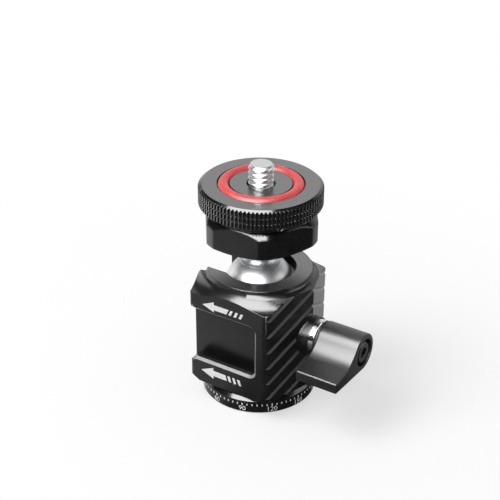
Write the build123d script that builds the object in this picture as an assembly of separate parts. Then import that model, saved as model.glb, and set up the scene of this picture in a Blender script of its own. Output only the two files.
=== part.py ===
from build123d import *
from math import cos, radians, sin, sqrt, tan
import os

# Ball-head swivel mount for cameras, small lights and monitors. Millimetres, +Z up.
# Origin: centre of the underside of the base dial, in the mouth of the tripod thread.
# The pan axis and the upright stem lie on Z. The accessory shoe is in the -Y face, the
# clamp knob on the +X ridge and the drop notch in the -X side.

# Clearances
running = 0.05
edge_break = 0.3

# Tripod thread and camera stud, both 1/4 inch - 20
thread_r = 3.175
thread_clearance = 0.025

# Base dial, its hub and the threaded bush
dial_overhang = 0.147
dial_height = 4.3
dial_bevel_width = 0.8
dial_bevel_height = 0.9
bush_wall = 1.3
bush_length = 8.0
hub_wall = 1.5

# Stack on the hub: friction washer, web of the housing, dished spring washer, ring nut
friction_washer_thickness = 0.3
friction_washer_r = 11.5
web_thickness = 2.75
spring_washer_height = 0.55
spring_washer_sheet = 0.25
nut_height = 2.0
nut_wall = 2.1
nut_slot_width = 1.6
nut_slot_depth = 0.9
nut_side_gap = 0.2

# Ball, slip liner and seat
ball_r = 8.75
liner_thickness = 0.6
liner_hole_angle = 24.0
liner_edge_angle = 50.0
roll_limit = 20.0
liner_wall_gap = 0.17
seat_hole_r = 4.0
seat_floor = 1.7
seat_rim_drop = 5.46
wedge_angle = 30.0
seat_travel = 0.5
seat_rise = 13.5

# Housing
boss_r = 13.0
boss_height = 0.45
rim_above_centre = 5.64
socket_ring_low = 2.44
socket_ring_height = 1.7
shoe_wall = 1.2
corner_half_length = 10.9
corner_round = 2.0
notch_corner_step = 0.4
notch_corner_round = 0.9
prow_rise = 4.4
ridge_flat = 1.7
rim_land = 3.87
rim_step_width = 0.5
rim_step = 1.3
rim_ledge_fall = 0.9
shoulder_width = 1.53
shoulder_drop = 2.9
shoulder_foot_width = 5.13
shoulder_foot_drop = 4.15
shoulder_oval = 1.136
foot_chamfer = 1.2
groove_width = 1.1
groove_depth = 0.45
groove_pitch = 4.5
groove_fall = 8.1
groove_top_drop = 2.1
groove_count = 6
notch_half_width = 7.5
notch_depth = 5.36
notch_round = 3.0

# Accessory shoe slot
shoe_lip = 1.8
shoe_depth = 2.35
shoe_centre_height = 13.8
shoe_mouth_width = 14.0
shoe_channel_width = 18.6
shoe_end_x = 7.2
shoe_end_round = 1.5
shoe_lead_in = 1.2

# Clamp pin, screw and bush
pin_r = 2.3
pin_tip_r = 0.6
pin_above_wedge = 0.75
pin_length = 1.7
screw_r = 2.5
screw_bush_wall = 1.45
screw_bush_depth = 6.25
screw_bush_head_wall = 2.1
screw_bush_head = 1.75
knob_boss_proud = 1.15
knob_boss_lip = 0.4

# Wing knob
knob_washer_thickness = 0.4
knob_washer_gap = 0.1
knob_length = 11.05
knob_hub_r = 4.85
lever_reach = 13.95
lever_tail_height = 2.75
lever_tail_drop = 3.95
lever_web_top = 0.45
lever_corner_round = 0.5
knob_edge_round = 0.4
knob_screw_shank_r = 1.5
knob_screw_head_r = 2.75
knob_screw_head_height = 3.0
knob_screw_length = 6.0
knob_screw_socket = 2.5
knob_recess_gap = 0.85
knob_recess_depth = 3.15

# Stem and hexagonal collar
foot_r = 5.0
foot_land = 0.45
neck_r = 3.8
flare_height = 2.4
spigot_r = 2.55
spigot_length = 6.0
drop_clearance = 0.4
collar_height = 7.64
collar_flats = 26.5
collar_corner_r = 14.5
collar_foot_r = 11.5
collar_foot_height = 1.25
collar_top_chamfer = 1.4
collar_turn = 5.7
stem_boss_wall = 1.1
stem_top_recess = 0.2
stud_foot = 1.2
set_screw_r = 1.5
set_screw_length = 5.5

# Camera stud, lock disc and grip ring
stud_proud = 5.0
stud_neck = 0.4
stud_neck_width = 0.6
stud_tip_r = 2.45
stud_tip_chamfer = 0.75
disc_gap = 0.4
disc_r = 15.0
disc_height = 6.1
disc_foot_r = 13.8
disc_cone_height = 1.2
disc_band_r = 14.7
disc_top_r = 14.15
disc_top_chamfer = 0.65
disc_bore_gap = 0.08
disc_mouth = 0.3
grip_centre_r = 9.0
grip_section_r = 1.4
grip_side_gap = 0.1
grip_proud = 0.6

# Heights and radii that follow from the sizes above
bush_r = thread_r + thread_clearance + bush_wall
hub_r = bush_r + hub_wall
housing_bottom = dial_height + running + friction_washer_thickness
body_bottom = housing_bottom + boss_height
web_top = housing_bottom + web_thickness
nut_bottom = web_top + running + spring_washer_height
nut_top = nut_bottom + nut_height
hub_top = nut_top + edge_break
nut_r = hub_r + nut_wall
chamber_r = nut_r + nut_side_gap

liner_inner_r = ball_r + running
liner_outer_r = liner_inner_r + liner_thickness
pocket_r = liner_outer_r + running
bore_r = liner_outer_r * sin(radians(liner_edge_angle + roll_limit)) + liner_wall_gap
seat_r = bore_r - running
seat_bottom = body_bottom + seat_rise
ball_z = seat_bottom + seat_floor + sqrt(pocket_r ** 2 - seat_hole_r ** 2)
seat_top = ball_z - seat_rim_drop
wedge_slope = tan(radians(wedge_angle))

rim_z = ball_z + rim_above_centre
half_width = bore_r + shoe_wall + shoe_depth + shoe_lip
dial_r = half_width + dial_overhang
ridge_x = corner_half_length + prow_rise
flat_x = ridge_x - ridge_flat
shoulder_r = bore_r + rim_land
shoe_z = body_bottom + shoe_centre_height
notch_floor = ball_z - notch_depth

pin_z = seat_bottom + pin_above_wedge
pin_apex_x = seat_hole_r + pin_above_wedge / wedge_slope + running / sin(radians(wedge_angle))
pin_shoulder_x = pin_apex_x + pin_r / wedge_slope
pin_end_x = pin_shoulder_x + pin_length
boss_end_x = ridge_x + knob_boss_proud
bush_inner_x = boss_end_x - screw_bush_depth
screw_bush_r = screw_r + running + screw_bush_wall
screw_bush_head_r = screw_r + running + screw_bush_head_wall
knob_boss_r = screw_bush_head_r + knob_boss_lip
bush_outer_x = boss_end_x + screw_bush_head
knob_x = bush_outer_x + knob_washer_gap + knob_washer_thickness
knob_end_x = knob_x + knob_length
recess_x = knob_end_x - knob_recess_depth

foot_z = ball_z + sqrt(ball_r ** 2 - foot_r ** 2)
stem_foot_z = foot_z + running
collar_bottom = ball_z + flat_x + drop_clearance
collar_top = collar_bottom + collar_height
stem_top = collar_top - stem_top_recess
stem_boss_r = thread_r + stem_boss_wall
disc_bottom = collar_top + disc_gap
disc_top = disc_bottom + disc_height
stud_top = disc_top + stud_proud
grip_z = disc_top + grip_proud - grip_section_r


def turned(points):
    """Solid turned about Z from a closed outline of (radius, height) points."""
    outline = Polyline([(radius, 0, height) for radius, height in points], close=True)
    return revolve(make_face(outline), Axis.Z)


def rod(radius, low, high):
    """Cylinder on Z between two heights."""
    return Pos(0, 0, low) * extrude(Circle(radius), high - low)


def ring(inner_r, outer_r, low, high):
    """Plain ring on Z between two heights."""
    return turned([(inner_r, low), (outer_r, low), (outer_r, high), (inner_r, high)])


def block(x_span, y_span, z_span):
    """Box between pairs of coordinates."""
    spans = (x_span, y_span, z_span)
    centre = [(low + high) / 2 for low, high in spans]
    return Pos(*centre) * Box(*[high - low for low, high in spans])


def along_x(shape):
    """Lays a shape that was made on Z along the clamp axis, its height becoming X."""
    return Pos(0, 0, pin_z) * Rot(0, 90, 0) * shape


def at_ball(shape):
    """Moves a shape to the centre of the ball."""
    return Pos(0, 0, ball_z) * shape


# Panning base

def base_dial():
    profile = [
        (0, 0),
        (dial_r - edge_break, 0),
        (dial_r, edge_break),
        (dial_r, dial_height - dial_bevel_height),
        (dial_r - dial_bevel_width, dial_height),
        (hub_r, dial_height),
        (hub_r, hub_top - edge_break),
        (hub_r - edge_break, hub_top),
        (0, hub_top),
    ]
    return turned(profile) - rod(bush_r, 0, bush_length)


def tripod_bush():
    bore = thread_r + thread_clearance
    return turned([
        (bore + edge_break, 0),
        (bush_r, 0),
        (bush_r, bush_length),
        (bore, bush_length),
        (bore, edge_break),
    ])


def friction_washer():
    return ring(hub_r + running, friction_washer_r, dial_height + running, housing_bottom)


def spring_washer():
    inner = hub_r + running
    low = web_top + running
    return turned([
        (inner, nut_bottom - spring_washer_sheet),
        (nut_r, low),
        (nut_r, low + spring_washer_sheet),
        (inner, nut_bottom),
    ])


def ring_nut():
    nut = ring(hub_r, nut_r, nut_bottom, nut_top)
    reach = nut_r + edge_break
    half = nut_slot_width / 2
    slot = block((-reach, reach), (-half, half), (nut_top - nut_slot_depth, nut_top + 1))
    return nut - slot - Rot(0, 0, 90) * slot


# Housing

def housing_block():
    """Six-sided block: two flat faces and a prow at each end, the prow of the notch cut flat."""
    notch_corner_x = corner_half_length + notch_corner_step
    plan = Polyline([
        (ridge_x, 0),
        (corner_half_length, half_width),
        (-notch_corner_x, half_width),
        (-ridge_x, 0),
        (-notch_corner_x, -half_width),
        (corner_half_length, -half_width),
    ], close=True)
    solid = Pos(0, 0, body_bottom) * extrude(make_face(plan), rim_z - body_bottom)
    upright = solid.edges().filter_by(Axis.Z)
    corners = [edge for edge in upright if abs(edge.center().Y) > half_width / 2]
    solid = fillet([edge for edge in corners if edge.center().X > 0], corner_round)
    upright = solid.edges().filter_by(Axis.Z).sort_by(Axis.X)
    corners = [edge for edge in upright[:3] if abs(edge.center().Y) > half_width / 2]
    solid = fillet(corners, notch_corner_round)
    beyond = (-ridge_x - 1, -flat_x)
    return solid - block(beyond, (-half_width, half_width), (0, rim_z + 1))


def shoulder_cut():
    """Everything outside the oval scoop round the top and the round rim that stands above it."""
    far = shoulder_r + shoulder_foot_width
    rim = (shoulder_r, 0, rim_z)
    middle = (shoulder_r + shoulder_width, 0, rim_z - shoulder_drop)
    foot = (far, 0, rim_z - shoulder_foot_drop)
    sides = [
        ThreePointArc(rim, middle, foot),
        Polyline([foot, (far + 3, 0, foot[2]), (far + 3, 0, rim_z + 1)]),
        Polyline([(far + 3, 0, rim_z + 1), (shoulder_r, 0, rim_z + 1), rim]),
    ]
    scoop = scale(revolve(make_face(Curve() + sides), Axis.Z), by=(shoulder_oval, 1, 1))
    ledge_z = rim_z - rim_step
    rim_cut = turned([
        (shoulder_r, rim_z),
        (shoulder_r + rim_step_width, ledge_z),
        (far, ledge_z - rim_ledge_fall),
        (far, rim_z + 1),
        (shoulder_r, rim_z + 1),
    ])
    return scoop + rim_cut


def groove_cuts():
    """Vee grooves that rise across both knob-side faces and meet in chevrons on the ridge."""
    along = Vector(-prow_rise, -half_width, -groove_fall)
    outward = Vector(half_width, -prow_rise, 0).normalized()
    half = groove_width / 2
    vee = Polyline([(-groove_depth, 0), (groove_depth, -2 * half), (groove_depth, 2 * half)], close=True)
    cuts = []
    for number in range(-1, groove_count):
        start = Vector(ridge_x, 0, rim_z - groove_top_drop - number * groove_pitch)
        frame = Plane(origin=start - along.normalized(), x_dir=outward, z_dir=along)
        groove = extrude(make_face(frame * vee), along.length + 2, dir=along.normalized())
        groove -= block((0, 2 * ridge_x), (0, half_width), (0, 2 * rim_z))
        cuts += [groove, mirror(groove, Plane.XZ)]
    return cuts


def foot_chamfer_cut():
    corner_r = sqrt(corner_half_length ** 2 + half_width ** 2)
    inner = corner_r - foot_chamfer
    return turned([(inner, body_bottom), (corner_r + 1, body_bottom), (corner_r + 1, body_bottom + foot_chamfer + 1)])


def notch_cut():
    """Drop notch for the stem, with rounded bottom corners."""
    sides = (-notch_half_width, notch_half_width)
    cut = block((-ridge_x - 1, -bore_r / 2), sides, (notch_floor, rim_z + 5))
    lower = cut.edges().filter_by(Axis.X).group_by(Axis.Z)[0]
    return fillet(lower, notch_round)


def shoe_cut():
    """T slot for an accessory foot: open at -X, closed with rounded corners at +X."""
    face = -half_width
    slot_floor = face + shoe_lip + shoe_depth
    cuts = []
    for width, outer in ((shoe_mouth_width, face - 1), (shoe_channel_width, face + shoe_lip)):
        heights = (shoe_z - width / 2, shoe_z + width / 2)
        cut = block((-ridge_x - 1, shoe_end_x), (outer, slot_floor), heights)
        end = cut.edges().filter_by(Axis.Y).group_by(Axis.X)[-1]
        cuts.append(fillet(end, shoe_end_round))
    inner = shoe_lead_in - corner_half_length - notch_corner_step
    reach = ridge_x + inner + 1
    narrow = shoe_mouth_width / 2
    funnel = Polyline([
        (inner, shoe_z + narrow),
        (inner - reach, shoe_z + narrow + reach),
        (inner - reach, shoe_z - narrow - reach),
        (inner, shoe_z - narrow),
    ], close=True)
    cuts.append(Pos(0, face + shoe_lip, 0) * extrude(make_face(Plane.XZ * funnel), shoe_lip + 1))
    return cuts


def swivel_body():
    solid = housing_block() - shoulder_cut() - foot_chamfer_cut()
    for cut in groove_cuts():
        solid -= cut
    solid += rod(boss_r, housing_bottom, body_bottom)
    solid += along_x(rod(knob_boss_r, shoulder_r, boss_end_x))
    ledge = seat_bottom - seat_travel - seat_hole_r * wedge_slope
    solid -= turned([
        (0, web_top),
        (chamber_r, web_top),
        (chamber_r, ledge + chamber_r * wedge_slope),
        (bore_r, ledge + bore_r * wedge_slope),
        (bore_r, rim_z + 1),
        (0, rim_z + 1),
    ])
    solid -= rod(hub_r + running, housing_bottom - 1, web_top + 1)
    solid -= notch_cut()
    for cut in shoe_cut():
        solid -= cut
    solid -= along_x(rod(pin_r + running, 0, bush_inner_x + 1))
    return solid - along_x(rod(screw_bush_r, bush_inner_x, boss_end_x + 1))


def socket_ring():
    """Ring with a spherical bore that holds the ball down, open at the drop notch."""
    low = ball_z + socket_ring_low
    solid = rod(bore_r, low, low + socket_ring_height) - at_ball(Sphere(liner_inner_r))
    return solid - notch_cut()


def screw_bush():
    bore = screw_r + running
    return along_x(turned([
        (bore, bush_inner_x),
        (screw_bush_r, bush_inner_x),
        (screw_bush_r, boss_end_x),
        (screw_bush_head_r, boss_end_x),
        (screw_bush_head_r, bush_outer_x - edge_break),
        (screw_bush_head_r - edge_break, bush_outer_x),
        (bore, bush_outer_x),
    ]))


# Clamp

def seat_carrier():
    """Piston with a wedge cone below and a spherical pocket above."""
    solid = turned([
        (seat_hole_r, seat_bottom),
        (seat_r, seat_bottom + (seat_r - seat_hole_r) * wedge_slope),
        (seat_r, seat_top),
        (seat_hole_r, seat_top),
    ])
    return solid - at_ball(Sphere(pocket_r))


def ball_liner():
    """Thin spherical zone that slips between the ball and its seat."""
    def below(radius, angle):
        turn = radians(angle)
        return (radius * sin(turn), 0, ball_z - radius * cos(turn))

    middle = (liner_hole_angle + liner_edge_angle) / 2
    angles = (liner_hole_angle, middle, liner_edge_angle)
    inner = [below(liner_inner_r, angle) for angle in angles]
    outer = [below(liner_outer_r, angle) for angle in angles]
    sides = [
        ThreePointArc(*inner),
        Line(inner[-1], outer[-1]),
        ThreePointArc(*outer),
        Line(outer[0], inner[0]),
    ]
    return revolve(make_face(Curve() + sides), Axis.Z)


def clamp_pin():
    return along_x(turned([
        (0, pin_apex_x + pin_tip_r / wedge_slope),
        (pin_tip_r, pin_apex_x + pin_tip_r / wedge_slope),
        (pin_r, pin_shoulder_x),
        (pin_r, pin_end_x),
        (0, pin_end_x),
    ]))


def clamp_screw():
    low = pin_end_x + running
    solid = turned([
        (0, low),
        (screw_r - edge_break, low),
        (screw_r, low + edge_break),
        (screw_r, recess_x - running),
        (0, recess_x - running),
    ])
    return along_x(solid - rod(knob_screw_shank_r, recess_x - knob_screw_length, recess_x))


def knob_washer():
    return along_x(ring(screw_r, screw_bush_head_r, knob_x - knob_washer_thickness, knob_x))


def knob_outline():
    """Comma outline about the clamp axis, in the plane of Y and Z."""
    tail_low = (lever_reach, -lever_tail_drop)
    tail_top = (lever_reach, -lever_tail_drop + lever_tail_height)
    root = (0.6 * lever_reach, -lever_web_top)
    leave = (knob_hub_r * cos(radians(36)), knob_hub_r * sin(radians(36)))
    throat = (0.422 * lever_reach, 0.175 * knob_hub_r)
    back = (-knob_hub_r, 0)
    bottom = (0, -knob_hub_r)
    sides = [
        Line(bottom, tail_low),
        Line(tail_low, tail_top),
        Line(tail_top, root),
        ThreePointArc(root, throat, leave),
        ThreePointArc(leave, back, bottom),
    ]
    outline = make_face(Curve() + sides)
    return fillet(outline.vertices().sort_by(Axis.X)[-2:], lever_corner_round)


def wing_knob():
    """Comma-shaped knob, its lever towards -Y, with a counterbore in its outer end."""
    frame = Plane(origin=(knob_x, 0, pin_z), x_dir=(0, -1, 0), z_dir=(-1, 0, 0))
    solid = extrude(frame * knob_outline(), -knob_length)
    ends = solid.edges().group_by(Axis.X)
    solid = fillet(ends[0] + ends[-1], knob_edge_round)
    solid -= along_x(rod(screw_r, knob_x - 1, recess_x))
    return solid - along_x(rod(knob_screw_head_r + knob_recess_gap, recess_x, knob_end_x + 1))


def knob_screw():
    top = recess_x + knob_screw_head_height
    solid = turned([
        (0, recess_x - knob_screw_length + edge_break),
        (knob_screw_shank_r, recess_x - knob_screw_length + edge_break),
        (knob_screw_shank_r, recess_x),
        (knob_screw_head_r, recess_x),
        (knob_screw_head_r, top - edge_break),
        (knob_screw_head_r - edge_break, top),
        (0, top),
    ])
    socket = RegularPolygon(knob_screw_socket / 2, 6, major_radius=False)
    return along_x(solid - Pos(0, 0, top - knob_screw_head_height / 2) * extrude(socket, knob_screw_head_height))


# Head

def ball():
    solid = at_ball(Sphere(ball_r)) - block((-ball_r, ball_r), (-ball_r, ball_r), (foot_z, foot_z + ball_r))
    return solid - rod(spigot_r + running, foot_z - spigot_length - running, foot_z + 1)


def stem():
    """Polished stem: a spigot in the ball, a flared foot, the neck and a boss in the collar."""
    land = stem_foot_z + foot_land
    flare_top = land + flare_height
    flare = ThreePointArc(
        (foot_r, 0, land),
        (neck_r + (foot_r - neck_r) * 0.22, 0, land + flare_height * 0.4),
        (neck_r, 0, flare_top),
    )
    outline = Polyline([
        (neck_r, 0, flare_top),
        (neck_r, 0, collar_bottom),
        (stem_boss_r, 0, collar_bottom),
        (stem_boss_r, 0, stem_top),
        (0, 0, stem_top),
        (0, 0, foot_z - spigot_length),
        (spigot_r, 0, foot_z - spigot_length),
        (spigot_r, 0, stem_foot_z),
        (foot_r, 0, stem_foot_z),
        (foot_r, 0, land),
    ])
    solid = revolve(make_face(Curve() + [flare, outline]), Axis.Z)
    return solid - rod(thread_r, collar_bottom + stud_foot, stem_top + 1)


def set_screw_axis():
    """Radial axis of the grub screw, on the flat that faces -X and +Y."""
    return Pos(0, 0, (collar_bottom + collar_top) / 2) * Rot(0, 0, collar_turn + 150) * Rot(0, 90, 0)


def collar():
    """Hexagon with its corners turned down, chamfered above and coned below."""
    hexagon = RegularPolygon(collar_flats / 2, 6, major_radius=False, rotation=collar_turn)
    solid = Pos(0, 0, collar_bottom) * extrude(hexagon, collar_height)
    envelope = turned([
        (stem_boss_r, collar_bottom),
        (collar_foot_r, collar_bottom),
        (collar_corner_r, collar_bottom + collar_foot_height),
        (collar_corner_r, collar_top - collar_top_chamfer),
        (collar_corner_r - collar_top_chamfer, collar_top),
        (stem_boss_r, collar_top),
    ])
    solid = solid & envelope
    return solid - set_screw_axis() * rod(set_screw_r, 0, collar_corner_r + 1)


def collar_set_screw():
    solid = rod(set_screw_r, stem_boss_r, stem_boss_r + set_screw_length)
    socket = RegularPolygon(set_screw_r / 2, 6, major_radius=False)
    end = stem_boss_r + set_screw_length
    return set_screw_axis() * (solid - Pos(0, 0, end - set_screw_r) * extrude(socket, set_screw_r + 1))


def camera_stud():
    return turned([
        (0, collar_bottom + stud_foot),
        (thread_r, collar_bottom + stud_foot),
        (thread_r, disc_top - stud_neck_width),
        (thread_r - stud_neck, disc_top - stud_neck_width),
        (thread_r - stud_neck, disc_top),
        (thread_r, disc_top),
        (thread_r, stud_top - stud_tip_chamfer),
        (stud_tip_r, stud_top),
        (0, stud_top),
    ])


def lock_disc():
    bore = thread_r + disc_bore_gap
    groove_half = grip_section_r + grip_side_gap
    groove_floor = grip_z - grip_section_r - running
    return turned([
        (bore + disc_mouth, disc_bottom),
        (disc_foot_r, disc_bottom),
        (disc_band_r, disc_bottom + disc_cone_height),
        (disc_r, disc_bottom + disc_cone_height + running),
        (disc_r, disc_top - disc_top_chamfer),
        (disc_top_r, disc_top),
        (grip_centre_r + groove_half, disc_top),
        (grip_centre_r + groove_half, groove_floor),
        (grip_centre_r - groove_half, groove_floor),
        (grip_centre_r - groove_half, disc_top),
        (bore + disc_mouth, disc_top),
        (bore, disc_top - disc_mouth),
        (bore, disc_bottom + disc_mouth),
    ])


def grip_ring():
    return Pos(0, 0, grip_z) * Torus(grip_centre_r, grip_section_r)


PIECES = {
    "base_dial": base_dial,
    "tripod_bush": tripod_bush,
    "pan_friction_washer": friction_washer,
    "pan_spring_washer": spring_washer,
    "pan_ring_nut": ring_nut,
    "swivel_body": swivel_body,
    "socket_ring": socket_ring,
    "screw_bush": screw_bush,
    "seat_carrier": seat_carrier,
    "ball_liner": ball_liner,
    "clamp_pin": clamp_pin,
    "clamp_screw": clamp_screw,
    "knob_washer": knob_washer,
    "wing_knob": wing_knob,
    "knob_screw": knob_screw,
    "ball": ball,
    "stem": stem,
    "collar": collar,
    "collar_set_screw": collar_set_screw,
    "camera_stud": camera_stud,
    "lock_disc": lock_disc,
    "grip_ring": grip_ring,
}

os.makedirs("parts", exist_ok=True)
for name, make in PIECES.items():
    export_step(make(), f"parts/{name}.step")
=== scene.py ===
"""Looks of the ball-head swivel mount: finishes, threads, knurl, markings, light and camera."""
from math import atan2, cos, hypot, pi, radians, sin

import bmesh
import bpy
from mathutils import Matrix, Vector


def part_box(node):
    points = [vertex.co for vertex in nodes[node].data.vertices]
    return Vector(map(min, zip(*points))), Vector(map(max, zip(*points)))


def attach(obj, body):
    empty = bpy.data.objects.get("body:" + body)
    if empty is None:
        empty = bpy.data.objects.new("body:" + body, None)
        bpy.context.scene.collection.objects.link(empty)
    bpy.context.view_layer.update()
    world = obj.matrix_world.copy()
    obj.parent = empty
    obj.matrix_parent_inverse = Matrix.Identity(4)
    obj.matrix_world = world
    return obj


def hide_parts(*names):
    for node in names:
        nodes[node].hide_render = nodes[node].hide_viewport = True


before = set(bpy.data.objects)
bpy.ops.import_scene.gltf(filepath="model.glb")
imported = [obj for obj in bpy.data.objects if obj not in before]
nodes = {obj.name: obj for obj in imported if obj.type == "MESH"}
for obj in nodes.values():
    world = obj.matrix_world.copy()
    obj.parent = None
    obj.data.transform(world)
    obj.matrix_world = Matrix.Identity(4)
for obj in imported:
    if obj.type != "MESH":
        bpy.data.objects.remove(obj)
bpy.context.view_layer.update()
MM = 0.001


def span(name):
    """Lowest and highest corners of a CAD node, in millimetres."""
    low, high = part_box(name)
    return low / MM, high / MM


# Driving sizes of the pieces made here, in millimetres

thread_pitch = 1.27
thread_root_r = 2.5
thread_crest_r = 3.06
thread_steps = 36
stud_tip_r = 2.55
stud_foot_r = 3.17
stud_turns = 12
stud_foot_drop = 12.0
stud_tip_slope = 0.9

mouth_chamfer = 0.6
mouth_low_z = 11.9
mouth_high_z = 25.9
mouth_end_x = 7.2
mouth_funnel = 1.2

bush_thread_root_r = 3.2
bush_thread_crest_r = 2.62
bush_lead_in = 0.5
bush_turns = 9

disc_foot_r = 13.8
disc_cone_height = 1.2
disc_band_r = 14.7
disc_top_r = 14.15
disc_chamfer = 0.65
disc_bore_r = 3.255
disc_mouth = 0.3
groove_centre_r = 9.0
groove_half = 1.5
groove_depth = 2.25
knurl_teeth = 96
knurl_steps = 4
knurl_depth = 0.36
knurl_rows = 3
knurl_row_gap = 0.3
knurl_row_depth = 0.22
knurl_row_soft = 0.01
knurl_foot_gap = 0.12

mark_proud = 0.02
mark_sink = 0.002
tick_count = 72
tick_height = 0.55
tick_width = 0.3
tick_centre_z = 2.45
tick_taller = 0.12
figure_height = 1.35
figure_centre_z = 1.15
figure_zero_angle = -165
figure_step = 30


# Camera

def place_camera():
    """Long lens, from the front right and about thirty degrees above."""
    azimuth = radians(31.51)
    elevation = radians(30.56)
    roll = radians(0.65)
    distance = 291.12 * MM
    target = Vector((0, 0, 31 * MM))
    back = Vector((
        sin(azimuth) * cos(elevation),
        -cos(azimuth) * cos(elevation),
        sin(elevation),
    ))
    level_right = Vector((cos(azimuth), sin(azimuth), 0))
    level_up = back.cross(level_right)
    right = level_right * cos(roll) + level_up * sin(roll)
    up = level_up * cos(roll) - level_right * sin(roll)
    turn = Matrix((right, up, back)).transposed()
    data = bpy.data.cameras.new("camera")
    data.sensor_width = 36
    data.lens = 84.63
    data.shift_x = -0.02004
    data.shift_y = 0.05464
    data.clip_start = 0.01
    camera = bpy.data.objects.new("camera", data)
    camera.matrix_world = Matrix.Translation(target + back * distance) @ turn.to_4x4()
    bpy.context.scene.collection.objects.link(camera)
    bpy.context.scene.camera = camera


# Shader building

def node(tree, kind, **values):
    """Adds a shader node and sets its attributes, or its inputs by name."""
    made = tree.nodes.new(kind)
    for name, value in values.items():
        if hasattr(made, name):
            setattr(made, name, value)
        else:
            made.inputs[name.replace("_", " ")].default_value = value
    return made


def feed(tree, value, socket):
    """Links a socket to a socket, or writes a plain value on it."""
    if isinstance(value, bpy.types.NodeSocket):
        tree.links.new(value, socket)
    else:
        socket.default_value = value


def maths(tree, operation, first, second=0.0, third=0.0):
    """One sum on plain values or sockets."""
    made = node(tree, "ShaderNodeMath", operation=operation)
    for value, socket in zip((first, second, third), made.inputs):
        feed(tree, value, socket)
    return made.outputs[0]


def ramp(tree, factor, stops, interpolation="LINEAR"):
    """Grey or coloured ramp from (position, value) stops."""
    made = node(tree, "ShaderNodeValToRGB")
    made.color_ramp.interpolation = interpolation
    elements = made.color_ramp.elements
    elements.remove(elements[1])
    for index, (position, value) in enumerate(stops):
        element = elements.new(position) if index else elements[0]
        element.position = position
        element.color = value if isinstance(value, tuple) else grey(value)
    feed(tree, factor, made.inputs["Fac"])
    return made.outputs["Color"]


def blend_colours(tree, factor, first, second):
    """Mix of two colours."""
    made = node(tree, "ShaderNodeMix", data_type="RGBA")
    feed(tree, factor, made.inputs["Factor"])
    feed(tree, first, made.inputs[6])
    feed(tree, second, made.inputs[7])
    return made.outputs[2]


def blend_values(tree, factor, first, second):
    """Mix of two numbers."""
    made = node(tree, "ShaderNodeMix", data_type="FLOAT")
    feed(tree, factor, made.inputs["Factor"])
    feed(tree, first, made.inputs[2])
    feed(tree, second, made.inputs[3])
    return made.outputs[0]


def grey(level):
    """Neutral colour."""
    return (level, level, level, 1)


def millimetres(tree, flat=False):
    """Object coordinates in millimetres; flat drops the height."""
    coordinates = node(tree, "ShaderNodeTexCoord")
    mapping = node(tree, "ShaderNodeMapping", Scale=(1000, 1000, 0 if flat else 1000))
    tree.links.new(coordinates.outputs["Object"], mapping.inputs["Vector"])
    return mapping.outputs["Vector"]


def speckle(tree, place, per_mm, detail=3.0):
    """Fine noise with features a fraction of a millimetre across."""
    made = node(tree, "ShaderNodeTexNoise", Scale=per_mm, Detail=detail)
    tree.links.new(place, made.inputs["Vector"])
    return made.outputs["Fac"]


def rings(tree, per_mm):
    """Lathe marks: noise that depends only on the distance from the Z axis."""
    length = node(tree, "ShaderNodeVectorMath", operation="LENGTH")
    tree.links.new(millimetres(tree, flat=True), length.inputs[0])
    made = node(tree, "ShaderNodeTexNoise", noise_dimensions="1D", Scale=per_mm, Detail=2.0)
    tree.links.new(length.outputs["Value"], made.inputs["W"])
    return made.outputs["Fac"]


def soft_edges(tree, radius_mm):
    """Surface direction rounded over at the edges, as tumbled and plated parts are."""
    return node(tree, "ShaderNodeBevel", samples=6, Radius=radius_mm * MM).outputs["Normal"]


def bump(tree, height, depth_mm, normal=None):
    """Surface direction ruffled by a height of a few thousandths of a millimetre."""
    made = node(tree, "ShaderNodeBump", Strength=1.0, Distance=depth_mm * MM)
    tree.links.new(height, made.inputs["Height"])
    if normal is not None:
        tree.links.new(normal, made.inputs["Normal"])
    return made.outputs["Normal"]


def new_material(name, **values):
    """Principled material with the given inputs set on the shader's own sockets."""
    material = bpy.data.materials.new(name)
    material.use_nodes = True
    shader = material.node_tree.nodes["Principled BSDF"]
    for key, value in values.items():
        shader.inputs[key.replace("_", " ")].default_value = value
    return material, material.node_tree, shader


# Finishes

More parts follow.
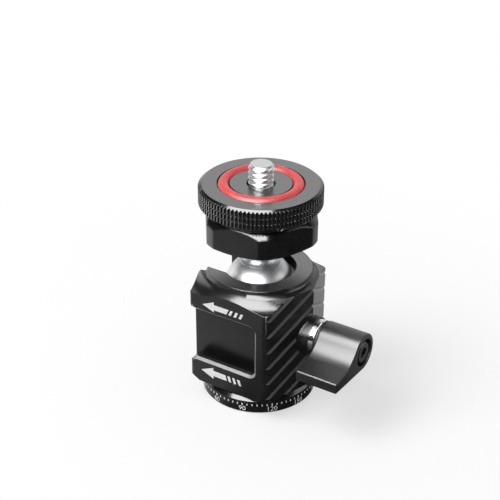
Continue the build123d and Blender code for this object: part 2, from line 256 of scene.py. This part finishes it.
def anodised(name, turned_height=None, edge_mm=0.2, level=0.01, roughness=0.15, painted_lit_flanks=()):
    """Black anodised aluminium, bead-blasted fine; turned faces are left brighter, and groove flanks facing
    the given directions are painted a lighter grey as painted highlight.
    """
    material, tree, shader = new_material(name, IOR=1.62)
    place = millimetres(tree)
    grain = speckle(tree, place, 3.5)
    cloud = speckle(tree, place, 0.22, 2.0)
    colour = ramp(tree, cloud, [(0.3, level * 0.8), (0.7, level * 1.25)])
    gloss = maths(tree, "MULTIPLY_ADD", grain, 0.04, roughness - 0.02)
    normal = bump(tree, grain, 0.0006, soft_edges(tree, edge_mm))
    if turned_height is not None:
        height = node(tree, "ShaderNodeSeparateXYZ")
        tree.links.new(place, height.inputs[0])
        level_with = maths(tree, "COMPARE", height.outputs["Z"], turned_height, 0.03)
        upward = node(tree, "ShaderNodeSeparateXYZ")
        tree.links.new(node(tree, "ShaderNodeNewGeometry").outputs["True Normal"], upward.inputs[0])
        facing_up = maths(tree, "GREATER_THAN", upward.outputs["Z"], 0.9)
        turned_face = maths(tree, "MULTIPLY", level_with, facing_up)
        marks = rings(tree, 4.0)
        cut_colour = ramp(tree, marks, [(0.3, 0.2), (0.7, 0.25)])
        colour = blend_colours(tree, turned_face, colour, cut_colour)
        gloss = blend_values(tree, turned_face, gloss, 0.27)
        tree.links.new(turned_face, shader.inputs["Metallic"])
    # Painted highlight: flanks facing each given direction get a lighter grey, standing in for the light
    # that falls on them.
    for flank in painted_lit_flanks:
        along = node(tree, "ShaderNodeVectorMath", operation="DOT_PRODUCT")
        tree.links.new(node(tree, "ShaderNodeNewGeometry").outputs["True Normal"], along.inputs[0])
        along.inputs[1].default_value = flank
        painted_flank_highlight = maths(tree, "GREATER_THAN", along.outputs["Value"], 0.985)
        colour = blend_colours(tree, painted_flank_highlight, colour, grey(0.12))
    tree.links.new(colour, shader.inputs["Base Color"])
    tree.links.new(gloss, shader.inputs["Roughness"])
    tree.links.new(normal, shader.inputs["Normal"])
    return material


def turned_anodised(name, low=0.205, high=0.245):
    """Face-turned black aluminium: grey sheen with faint rings."""
    material, tree, shader = new_material(name, Metallic=1.0)
    marks = rings(tree, 4.0)
    tree.links.new(ramp(tree, marks, [(0.3, low), (0.7, high)]), shader.inputs["Base Color"])
    tree.links.new(maths(tree, "MULTIPLY_ADD", marks, 0.1, 0.2), shader.inputs["Roughness"])
    tree.links.new(bump(tree, marks, 0.001), shader.inputs["Normal"])
    return material


def steel(name, roughness=0.12, level=0.74, lathe=6.0):
    """Polished steel with faint turning marks and a cool tint."""
    material, tree, shader = new_material(name, Metallic=1.0)
    place = millimetres(tree)
    height = node(tree, "ShaderNodeSeparateXYZ")
    tree.links.new(place, height.inputs[0])
    marks = node(tree, "ShaderNodeTexNoise", noise_dimensions="1D", Scale=lathe, Detail=2.0)
    tree.links.new(height.outputs["Z"], marks.inputs["W"])
    low = (level * 0.96, level * 0.975, level, 1)
    high = (min(1, level * 1.03), min(1, level * 1.045), min(1, level * 1.07), 1)
    tree.links.new(ramp(tree, marks.outputs["Fac"], [(0.3, low), (0.7, high)]), shader.inputs["Base Color"])
    smudge = speckle(tree, place, 0.5, 2.0)
    tree.links.new(maths(tree, "MULTIPLY_ADD", smudge, 0.06, roughness - 0.03), shader.inputs["Roughness"])
    tree.links.new(bump(tree, marks.outputs["Fac"], 0.0005, soft_edges(tree, 0.1)), shader.inputs["Normal"])
    return material


def gunmetal(name):
    """Dark gloss plating on a cast wing knob."""
    material, tree, shader = new_material(name, IOR=1.65)
    place = millimetres(tree)
    orange_peel = speckle(tree, place, 1.6, 2.0)
    tree.links.new(ramp(tree, orange_peel, [(0.3, 0.018), (0.7, 0.026)]), shader.inputs["Base Color"])
    tree.links.new(maths(tree, "MULTIPLY_ADD", orange_peel, 0.05, 0.27), shader.inputs["Roughness"])
    tree.links.new(bump(tree, orange_peel, 0.001, soft_edges(tree, 0.3)), shader.inputs["Normal"])
    return material


def cut_chamfer(name):
    """Chamfer milled after anodising: pale, slightly brushed aluminium."""
    material, tree, shader = new_material(name)
    grain = speckle(tree, millimetres(tree), 3.0)
    tree.links.new(ramp(tree, grain, [(0.3, 0.22), (0.7, 0.3)]), shader.inputs["Base Color"])
    tree.links.new(maths(tree, "MULTIPLY_ADD", grain, 0.1, 0.35), shader.inputs["Roughness"])
    tree.links.new(bump(tree, grain, 0.001), shader.inputs["Normal"])
    return material


def rubber(name):
    """Red rubber with a soft sheen and a fine moulded grain."""
    material, tree, shader = new_material(name, Sheen_Weight=0.25, Sheen_Roughness=0.4)
    place = millimetres(tree)
    grain = speckle(tree, place, 4.0)
    cloud = speckle(tree, place, 0.35, 2.0)
    shade = ramp(tree, cloud, [(0.3, (0.72, 0.055, 0.06, 1)), (0.7, (0.82, 0.075, 0.075, 1))])
    tree.links.new(shade, shader.inputs["Base Color"])
    tree.links.new(maths(tree, "MULTIPLY_ADD", grain, 0.12, 0.34), shader.inputs["Roughness"])
    tree.links.new(bump(tree, grain, 0.01), shader.inputs["Normal"])
    return material


def paint(name):
    """White screen-printed ink, thinner in spots."""
    material, tree, shader = new_material(name)
    grain = speckle(tree, millimetres(tree), 3.0)
    tree.links.new(ramp(tree, grain, [(0.25, 0.74), (0.6, 0.88)]), shader.inputs["Base Color"])
    tree.links.new(maths(tree, "MULTIPLY_ADD", grain, 0.15, 0.4), shader.inputs["Roughness"])
    tree.links.new(bump(tree, grain, 0.004), shader.inputs["Normal"])
    return material


def polymer(name):
    """Black moulded slip plastic."""
    material, tree, shader = new_material(name)
    grain = speckle(tree, millimetres(tree), 2.5)
    tree.links.new(ramp(tree, grain, [(0.3, 0.012), (0.7, 0.02)]), shader.inputs["Base Color"])
    tree.links.new(maths(tree, "MULTIPLY_ADD", grain, 0.15, 0.42), shader.inputs["Roughness"])
    tree.links.new(bump(tree, grain, 0.01), shader.inputs["Normal"])
    return material


def black_oxide(name):
    """Oiled black oxide on steel screws."""
    material, tree, shader = new_material(name, IOR=1.7)
    grain = speckle(tree, millimetres(tree), 3.0)
    tree.links.new(ramp(tree, grain, [(0.3, 0.012), (0.7, 0.022)]), shader.inputs["Base Color"])
    tree.links.new(maths(tree, "MULTIPLY_ADD", grain, 0.12, 0.22), shader.inputs["Roughness"])
    tree.links.new(bump(tree, grain, 0.001, soft_edges(tree, 0.12)), shader.inputs["Normal"])
    return material


def brass(name):
    """Machined brass."""
    material, tree, shader = new_material(name, Metallic=1.0)
    marks = rings(tree, 5.0)
    shade = ramp(tree, marks, [(0.3, (0.68, 0.5, 0.2, 1)), (0.7, (0.78, 0.6, 0.28, 1))])
    tree.links.new(shade, shader.inputs["Base Color"])
    tree.links.new(maths(tree, "MULTIPLY_ADD", marks, 0.1, 0.22), shader.inputs["Roughness"])
    tree.links.new(bump(tree, marks, 0.004, soft_edges(tree, 0.1)), shader.inputs["Normal"])
    return material


# Studio: a white backdrop behind, a dark front, one large panel overhead and two side cards

sky_right_stops = [(0.6, 0.03), (0.655, 1.1), (1.0, 1.1)]
sky_left_stops = [(0.0, 0.04), (0.05, 0.04), (0.1, 0.03), (0.3, 1.0), (0.905, 1.0), (0.945, 0.05)]
sky_lean = 0.133
floor_stops = [
    (0.0, 1.1), (0.06, 1.1), (0.09, 0.8), (0.12, 0.6), (0.16, 0.46), (0.205, 0.4), (0.24, 0.12),
    (0.33, 0.05), (0.53, 0.03), (0.56, 0.15), (0.66, 0.45), (0.78, 0.6), (0.85, 1.1),
]
ambient_level = 0.6
panel_centre = (0.0, -0.285, 0.405)
panel_size = (0.44, 0.56)
panel_twist = 12
panel_watts = 10.5
key_centre = (-0.35, -0.4, 0.75)
key_size = (0.5, 0.5)
key_watts = 5.2
right_card_centre = (0.42, 0.2, 0.19)
right_card_watts = 0.5
left_card_centre = (-0.48, 0.0, 0.08)
left_card_watts = 0.42
card_size = (0.36, 0.24)
floor_half = 3.0
floor_drop = 0.02 * MM
floor_matt = 0.82
floor_near_matt = 0.45
floor_near_glow = 0.56


def compass(tree, place):
    """Direction round the object as 0 to 1, from -X through -Y, +X and +Y."""
    made = node(tree, "ShaderNodeTexGradient", gradient_type="RADIAL")
    tree.links.new(place, made.inputs["Vector"])
    return made.outputs["Fac"]


def emission(tree, level):
    """Plain glow of a given level."""
    made = node(tree, "ShaderNodeEmission")
    feed(tree, level, made.inputs["Strength"])
    return made.outputs[0]


def choose(tree, factor, first, second):
    """Mix of two shaders."""
    made = node(tree, "ShaderNodeMixShader")
    tree.links.new(factor, made.inputs[0])
    tree.links.new(first, made.inputs[1])
    tree.links.new(second, made.inputs[2])
    return made.outputs[0]


def light_tent():
    """White to the camera, plain soft light on the object, backdrop and dark front to gloss."""
    world = bpy.data.worlds.new("studio")
    bpy.context.scene.world = world
    world.use_nodes = True
    world.cycles.sampling_method = "NONE"
    tree = world.node_tree
    tree.nodes.clear()
    out = node(tree, "ShaderNodeOutputWorld")
    rays = node(tree, "ShaderNodeLightPath")
    direction = node(tree, "ShaderNodeTexCoord").outputs["Generated"]
    height = node(tree, "ShaderNodeSeparateXYZ")
    tree.links.new(direction, height.inputs[0])
    round_about = compass(tree, direction)
    leaning = maths(tree, "MULTIPLY_ADD", height.outputs["Z"], -sky_lean, round_about)
    right = ramp(tree, leaning, sky_right_stops)
    left = ramp(tree, round_about, sky_left_stops)
    mirrored = maths(tree, "MULTIPLY", right, left)
    strength = blend_values(tree, rays.outputs["Is Glossy Ray"], ambient_level, mirrored)
    seen = maths(tree, "MAXIMUM", rays.outputs["Is Camera Ray"], rays.outputs["Is Transmission Ray"])
    strength = blend_values(tree, seen, strength, 1.0)
    background = node(tree, "ShaderNodeBackground")
    tree.links.new(strength, background.inputs["Strength"])
    tree.links.new(background.outputs[0], out.inputs["Surface"])


def floor():
    """Pale floor that keeps the soft shadow and shines white further out."""
    bm = bmesh.new()
    bmesh.ops.create_grid(bm, x_segments=1, y_segments=1, size=floor_half)
    bmesh.ops.translate(bm, vec=(0, 0, -floor_drop), verts=bm.verts)
    mesh = bpy.data.meshes.new("floor")
    bm.to_mesh(mesh)
    bm.free()
    board = bpy.data.objects.new("floor", mesh)
    bpy.context.scene.collection.objects.link(board)
    material = bpy.data.materials.new("pale_floor")
    material.use_nodes = True
    tree = material.node_tree
    tree.nodes.clear()
    out = node(tree, "ShaderNodeOutputMaterial")
    rays = node(tree, "ShaderNodeLightPath")
    place = node(tree, "ShaderNodeTexCoord").outputs["Object"]
    distance = node(tree, "ShaderNodeVectorMath", operation="LENGTH")
    tree.links.new(place, distance.inputs[0])
    near = ramp(tree, distance.outputs["Value"], [(0.03, 1.0), (0.14, 0.0)], "EASE")
    matt = node(tree, "ShaderNodeBsdfDiffuse", Color=grey(floor_matt)).outputs[0]
    near_matt = node(tree, "ShaderNodeBsdfDiffuse", Color=grey(floor_near_matt)).outputs[0]
    shadow_catch = node(tree, "ShaderNodeAddShader")
    tree.links.new(near_matt, shadow_catch.inputs[0])
    tree.links.new(emission(tree, floor_near_glow), shadow_catch.inputs[1])
    seen = choose(tree, near, emission(tree, 1.0), shadow_catch.outputs[0])
    mirrored = emission(tree, ramp(tree, compass(tree, place), floor_stops))
    surface = choose(tree, rays.outputs["Is Glossy Ray"], matt, mirrored)
    surface = choose(tree, rays.outputs["Is Camera Ray"], surface, seen)
    tree.links.new(surface, out.inputs["Surface"])
    mesh.materials.append(material)


def lamp(name, centre, size, watts, twist=0, diffuse=False):
    """Flat soft lamp that faces the object and every piece of it alike."""
    data = bpy.data.lights.new(name, "AREA")
    data.shape = "RECTANGLE"
    data.size, data.size_y = size
    data.energy = watts
    board = bpy.data.objects.new(name, data)
    place = Vector(centre)
    facing = place.to_track_quat("Z", "Y").to_matrix() @ Matrix.Rotation(radians(twist), 3, "Z")
    board.matrix_world = Matrix.Translation(place) @ facing.to_4x4()
    board.visible_camera = False
    board.visible_glossy = not diffuse
    board.visible_diffuse = diffuse
    bpy.context.scene.collection.objects.link(board)


def lamps():
    """Key for matt surfaces; an overhead panel and two side cards for gloss."""
    lamp("key", key_centre, key_size, key_watts, diffuse=True)
    lamp("overhead_panel", panel_centre, panel_size, panel_watts, twist=panel_twist)
    lamp("right_card", right_card_centre, card_size, right_card_watts)
    lamp("left_card", left_card_centre, card_size, left_card_watts)


# Piece building

def flat_borders(bm, area):
    """Edges round every face larger than an area, so that the face shades flat."""
    bm.edges.index_update()
    return [
        edge.index for edge in bm.edges
        if edge.is_manifold and edge.calc_face_angle() > radians(1.5)
        and max(face.calc_area() for face in edge.link_faces) > area
    ]


def write_piece(name, bm, body, finishes, sharp=32, stands_for=(), flat_area=1000.0):
    """Scales a bmesh from millimetres, and makes it a piece that rides on a body."""
    bmesh.ops.remove_doubles(bm, verts=bm.verts, dist=0.0005)
    bmesh.ops.recalc_face_normals(bm, faces=bm.faces)
    borders = flat_borders(bm, flat_area)
    bmesh.ops.scale(bm, vec=(MM, MM, MM), verts=bm.verts)
    mesh = bpy.data.meshes.new(name)
    bm.to_mesh(mesh)
    bm.free()
    mesh.shade_smooth()
    mesh.set_sharp_from_angle(angle=radians(sharp))
    for index in borders:
        mesh.edges[index].use_edge_sharp = True
    for finish in finishes:
        mesh.materials.append(finish)
    piece = bpy.data.objects.new(name, mesh)
    bpy.context.scene.collection.objects.link(piece)
    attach(piece, body)
    if stands_for:
        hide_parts(*stands_for)
    return piece


def chain(bm, points, closed=False):
    """Joined edges in the XZ plane through (radius, height) points."""
    verts = [bm.verts.new((radius, 0, height)) for radius, height in points]
    ends = verts[1:] + verts[:1] if closed else verts[1:]
    edges = [bm.edges.new(pair) for pair in zip(verts, ends)]
    return verts + edges


def spun(points, steps):
    """Closed outline turned all the way round Z."""
    bm = bmesh.new()
    bmesh.ops.spin(
        bm, geom=chain(bm, points, closed=True), cent=(0, 0, 0), axis=(0, 0, 1),
        angle=2 * pi, steps=steps, use_merge=True,
    )
    return bm


def helix(flank, low, turns):
    """One pitch of thread outline swept up a right-hand helix."""
    bm = bmesh.new()
    points = [(radius, low + height) for radius, height in flank]
    bmesh.ops.spin(
        bm, geom=chain(bm, points), cent=(0, 0, 0), axis=(0, 0, 1), angle=2 * pi * turns,
        steps=thread_steps * turns, dvec=(0, 0, thread_pitch / thread_steps),
    )
    bmesh.ops.remove_doubles(bm, verts=bm.verts, dist=0.002)
    return bm


def trim(bm, height, keep_above):
    """Cuts a mesh level and drops one side; gives the edges of the cut."""
    everything = bm.verts[:] + bm.edges[:] + bm.faces[:]
    cut = bmesh.ops.bisect_plane(
        bm, geom=everything, dist=0.0001, plane_co=(0, 0, height), plane_no=(0, 0, 1),
        clear_inner=keep_above, clear_outer=not keep_above,
    )
    return [item for item in cut["geom_cut"] if isinstance(item, bmesh.types.BMEdge)]


def set_radius(vert, radius):
    """Moves a point straight out or in to a radius."""
    now = hypot(vert.co.x, vert.co.y)
    vert.co.x *= radius / now
    vert.co.y *= radius / now


def screw_flank(root_r, crest_r):
    """Thread outline over one pitch, with a rounded crest."""
    rise = crest_r - root_r
    shoulder = root_r + 0.84 * rise
    return [
        (root_r, 0), (root_r, 0.16), (shoulder, 0.47), (crest_r, 0.57), (crest_r, 0.86),
        (shoulder, 0.96), (root_r, thread_pitch),
    ]


def chamfered_housing(finish, milled):
    """Housing with the shoe mouth's bright machined chamfer broken along its edges."""
    low = span("swivel_body")[0]
    bm = bmesh.new()
    bm.from_mesh(nodes["swivel_body"].data)
    bmesh.ops.scale(bm, vec=(1 / MM, 1 / MM, 1 / MM), verts=bm.verts)
    bmesh.ops.remove_doubles(bm, verts=bm.verts, dist=0.0005)
    bmesh.ops.dissolve_limit(bm, angle_limit=radians(0.3), verts=bm.verts, edges=bm.edges)
    rim = []
    for edge in bm.edges:
        middle = (edge.verts[0].co + edge.verts[1].co) / 2
        outward = [face.normal.y < -0.999 for face in edge.link_faces]
        on_face = all(abs(vert.co.y - low.y) < 0.001 for vert in edge.verts)
        in_height = mouth_low_z - mouth_funnel - 0.1 < middle.z < mouth_high_z + mouth_funnel + 0.1
        if on_face and in_height and low.x + 0.05 < middle.x < mouth_end_x + 0.05 and sum(outward) == 1:
            rim.append(edge)
    cut = bmesh.ops.bevel(
        bm, geom=rim, offset=mouth_chamfer, segments=1, profile=0.5, affect="EDGES", material=-1,
    )
    for face in cut["faces"]:
        face.material_index = 1
    write_piece(
        "housing_shell", bm, "housing", [finish, milled], 28, ("swivel_body",),
        flat_area=6.0,
    )


def threaded_stud(finish):
    """Camera stud with its helical thread, run out on a chamfered tip."""
    low, high = span("camera_stud")
    foot = high.z - stud_foot_drop
    start = high.z - (stud_turns - 1) * thread_pitch
    bm = helix(screw_flank(thread_root_r, thread_crest_r), start, stud_turns)
    top_rim = trim(bm, high.z, keep_above=False)
    foot_rim = trim(bm, foot, keep_above=True)
    for vert in bm.verts:
        limit = stud_tip_r + (high.z - vert.co.z) * stud_tip_slope
        if hypot(vert.co.x, vert.co.y) > limit:
            set_radius(vert, limit)
    bmesh.ops.holes_fill(bm, edges=top_rim, sides=0)
    drawn = bmesh.ops.extrude_edge_only(bm, edges=foot_rim)["geom"]
    lower = [item for item in drawn if isinstance(item, bmesh.types.BMVert)]
    for vert in lower:
        set_radius(vert, stud_foot_r)
    drawn = bmesh.ops.extrude_edge_only(
        bm, edges=[item for item in drawn if isinstance(item, bmesh.types.BMEdge) and item.is_boundary]
    )["geom"]
    for vert in (item for item in drawn if isinstance(item, bmesh.types.BMVert)):
        vert.co.z = low.z
    bmesh.ops.holes_fill(bm, edges=[edge for edge in bm.edges if edge.is_boundary], sides=0)
    write_piece("stud_thread", bm, "head", [finish], 40, ("camera_stud",))


def threaded_bush(finish):
    """Tripod bush with its inner thread and a countersunk mouth at both ends."""
    low, high = span("tripod_bush")
    flank = screw_flank(bush_thread_root_r, bush_thread_crest_r)
    bm = helix(flank, low.z - thread_pitch, bush_turns)
    trim(bm, high.z, keep_above=False)
    trim(bm, low.z, keep_above=True)
    for vert in bm.verts:
        from_end = min(vert.co.z - low.z, high.z - vert.co.z)
        mouth = bush_thread_root_r + bush_lead_in - from_end
        if hypot(vert.co.x, vert.co.y) < mouth:
            set_radius(vert, mouth)
    rims = [edge for edge in bm.edges if edge.is_boundary]
    drawn = bmesh.ops.extrude_edge_only(bm, edges=rims)["geom"]
    for vert in (item for item in drawn if isinstance(item, bmesh.types.BMVert)):
        set_radius(vert, high.x)
    bmesh.ops.bridge_loops(bm, edges=[edge for edge in bm.edges if edge.is_boundary])
    write_piece("bush_thread", bm, "base", [finish], 40, ("tripod_bush",))


def knurled_disc(black, cut_face, cut_crest):
    """Lock disc: turned top, ring groove, knurled edge in three rows and a bevelled foot."""
    low, high = span("lock_disc")
    edge_r = high.y
    band_low = low.z + disc_cone_height + knurl_foot_gap
    band_high = high.z - disc_chamfer
    row = (band_high - band_low - (knurl_rows - 1) * knurl_row_gap) / knurl_rows
    band = []
    for index in range(knurl_rows):
        start = band_low + index * (row + knurl_row_gap)
        if index:
            band.append((edge_r - knurl_row_depth, start - knurl_row_soft))
        band.append((edge_r, start))
        band.append((edge_r, start + row))
        if index < knurl_rows - 1:
            band.append((edge_r - knurl_row_depth, start + row + knurl_row_soft))
    inner = groove_centre_r - groove_half
    outer = groove_centre_r + groove_half
    outline = [
        (disc_bore_r + disc_mouth, low.z),
        (disc_foot_r, low.z),
        (disc_band_r, low.z + disc_cone_height),
        *band,
        (disc_top_r, high.z),
        (outer + 0.08, high.z),
        (outer, high.z - 0.08),
        (outer, high.z - groove_depth),
        (inner, high.z - groove_depth),
        (inner, high.z - 0.08),
        (inner - 0.08, high.z),
        (disc_bore_r + disc_mouth, high.z),
        (disc_bore_r, high.z - disc_mouth),
        (disc_bore_r, low.z + disc_mouth),
    ]
    steps = knurl_teeth * knurl_steps
    bm = spun(outline, steps)
    slope = (edge_r - disc_top_r) / disc_chamfer
    floor_r = edge_r - knurl_depth
    for vert in bm.verts:
        radius = hypot(vert.co.x, vert.co.y)
        column = round(atan2(vert.co.y, vert.co.x) / (2 * pi) * steps) % knurl_steps
        in_band = band_low - 0.01 < vert.co.z < band_high + 0.01 and radius > floor_r
        if in_band and column > 1:
            at_top = abs(vert.co.z - band_high) < 0.01
            set_radius(vert, floor_r)
            if at_top:
                vert.co.z = band_high + knurl_depth / slope
    bm.normal_update()
    for face in bm.faces:
        centre = face.calc_center_median()
        on_top = abs(face.normal.z) > 0.95 and centre.z > high.z - 0.01
        on_crest = band_low < centre.z < band_high and hypot(centre.x, centre.y) > edge_r - 0.02
        if on_top or on_crest:
            face.material_index = 2 if on_crest else 1
    finishes = [black, cut_face, cut_crest]
    write_piece("knurled_disc", bm, "disc", finishes, 30, ("lock_disc",))


def flat_letter(text, height):
    """Numeral as a flat mesh in the XY plane, centred on the origin, in millimetres."""
    curve = bpy.data.curves.new("figure", "FONT")
    curve.body = text
    curve.size = height / 0.7
    curve.align_x = "CENTER"
    curve.align_y = "CENTER"
    curve.resolution_u = 3
    holder = bpy.data.objects.new("figure", curve)
    mesh = bpy.data.meshes.new_from_object(holder)
    bpy.data.objects.remove(holder)
    bpy.data.curves.remove(curve)
    return mesh


def wrap(bm, verts, angle, centre_z, radius):
    """Lays flat verts round the dial: X becomes the angle, Y the height, Z stands proud."""
    for vert in verts:
        turn = radians(angle) + vert.co.x / radius
        reach = radius + vert.co.z
        vert.co = Vector((cos(turn) * reach, sin(turn) * reach, centre_z + vert.co.y))


def dial_marks(finish):
    """Degree ticks and numerals printed round the base dial."""
    radius = span("base_dial")[1].x + mark_sink
    ticks = bmesh.new()
    for index in range(tick_count):
        angle = index * 360 / tick_count
        taller = tick_taller if index % 6 == 3 else 0.0
        made = bmesh.ops.create_grid(ticks, x_segments=2, y_segments=1, size=0.5)["verts"]
        size = (tick_width, tick_height + taller, 1)
        bmesh.ops.scale(ticks, vec=size, verts=made)
        wrap(ticks, made, angle, tick_centre_z, radius)
    numerals = bmesh.new()
    for index in range(0, 360, figure_step):
        before = set(numerals.verts)
        numerals.from_mesh(flat_letter(str(index), figure_height))
        made = [vert for vert in numerals.verts if vert not in before]
        wrap(numerals, made, index + figure_zero_angle, figure_centre_z, radius)
    for name, bm in (("dial_ticks", ticks), ("dial_numerals", numerals)):
        printed = bmesh.ops.extrude_face_region(bm, geom=bm.faces[:])["geom"]
        raised = [item for item in printed if isinstance(item, bmesh.types.BMVert)]
        for vert in raised:
            set_radius(vert, hypot(vert.co.x, vert.co.y) + mark_proud)
        write_piece(name, bm, "base", [finish], 40)


def shoe_arrow(name, finish, outlines):
    """Flat printed arrow with three trailing bars on the shoe face, from (x, z) outlines."""
    face_y = span("swivel_body")[0].y - mark_sink
    bm = bmesh.new()
    for outline in outlines:
        bm.faces.new([bm.verts.new((x, face_y, z)) for x, z in outline])
    printed = bmesh.ops.extrude_face_region(bm, geom=bm.faces[:])["geom"]
    raised = [item for item in printed if isinstance(item, bmesh.types.BMVert)]
    bmesh.ops.translate(bm, vec=(0, -mark_proud, 0), verts=raised)
    write_piece(name, bm, "housing", [finish], 40)


def arrow_outlines(tip, head_x, head_z, tail_z, tail_x, bars, bar_width):
    """Arrow pointing to -X; every bar is given by the X of its top and of its foot."""
    (tip_x, tip_z), (head_low, head_high), (tail_low, tail_high) = tip, head_z, tail_z
    top_x, foot_x = tail_x
    arrow = [
        (tip_x, tip_z), (head_x, head_low), (head_x, tail_low), (foot_x, tail_low),
        (top_x, tail_high), (head_x, tail_high), (head_x, head_high),
    ]
    slabs = [
        [(foot, tail_low), (foot + bar_width, tail_low), (top + bar_width, tail_high), (top, tail_high)]
        for top, foot in bars
    ]
    return [arrow, *slabs]


# Making

bpy.context.scene.view_settings.view_transform = "Standard"
place_camera()
light_tent()
floor()

body_height = span("swivel_body")[1].z
black = anodised("black_anodised")
# The two directions below mark the groove flanks on the prow faces that get painted highlight.
housing_black = anodised(
    "black_anodised_housing", turned_height=body_height, roughness=0.24,
    painted_lit_flanks=((0.627, -0.569, 0.535), (0.627, 0.569, 0.535)),
)
cut_face = turned_anodised("turned_black_face")
cut_crest = turned_anodised("turned_knurl_crest", 0.26, 0.32)
bright = steel("polished_steel", 0.1)
stud_steel = steel("stud_steel", 0.36, 0.66)
satin_steel = steel("satin_steel", 0.42, 0.6)
dull_steel = steel("plain_steel", 0.24, 0.55)
collar_black = anodised("black_anodised_collar", edge_mm=0.8, roughness=0.1)
red = rubber("red_rubber")
white_ink = paint("white_ink")
knob_plating = gunmetal("gunmetal_plating")
slip_plastic = polymer("black_polymer")
oxide = black_oxide("black_oxide_steel")
seat_brass = brass("machined_brass")

finish_of = {
    "swivel_body": housing_black,
    "wing_knob": knob_plating,
    "grip_ring": red,
    "seat_carrier": seat_brass,
    "knob_screw": oxide,
    "collar_set_screw": oxide,
    "pan_spring_washer": dull_steel,
    "pan_ring_nut": dull_steel,
    "clamp_pin": dull_steel,
    "clamp_screw": dull_steel,
}
finish_of.update({name: bright for name in ("camera_stud", "screw_bush", "tripod_bush")})
finish_of.update({"ball": satin_steel, "stem": satin_steel, "collar": collar_black})
finish_of.update({name: slip_plastic for name in ("ball_liner", "pan_friction_washer", "knob_washer")})
for name, part in nodes.items():
    part.data.materials.clear()
    part.data.materials.append(finish_of.get(name, black))

chamfered_housing(housing_black, cut_chamfer("milled_chamfer"))
threaded_stud(stud_steel)
threaded_bush(bright)
knurled_disc(black, cut_face, cut_crest)
dial_marks(white_ink)
shoe_arrow("shoe_arrow_upper", white_ink, arrow_outlines(
    tip=(-7.5, 28.2), head_x=-4.2, head_z=(26.95, 29.75), tail_z=(27.55, 29.0), tail_x=(0.1, -0.6),
    bars=((0.62, -0.05), (2.1, 1.42), (3.55, 2.87)), bar_width=0.68,
))
shoe_arrow("shoe_arrow_lower", white_ink, arrow_outlines(
    tip=(-8.2, 8.7), head_x=-4.55, head_z=(7.15, 10.4), tail_z=(7.98, 9.55), tail_x=(-0.93, -0.58),
    bars=((-0.42, 0.08), (1.05, 1.5), (2.46, 3.0)), bar_width=0.72,
))

lamps()
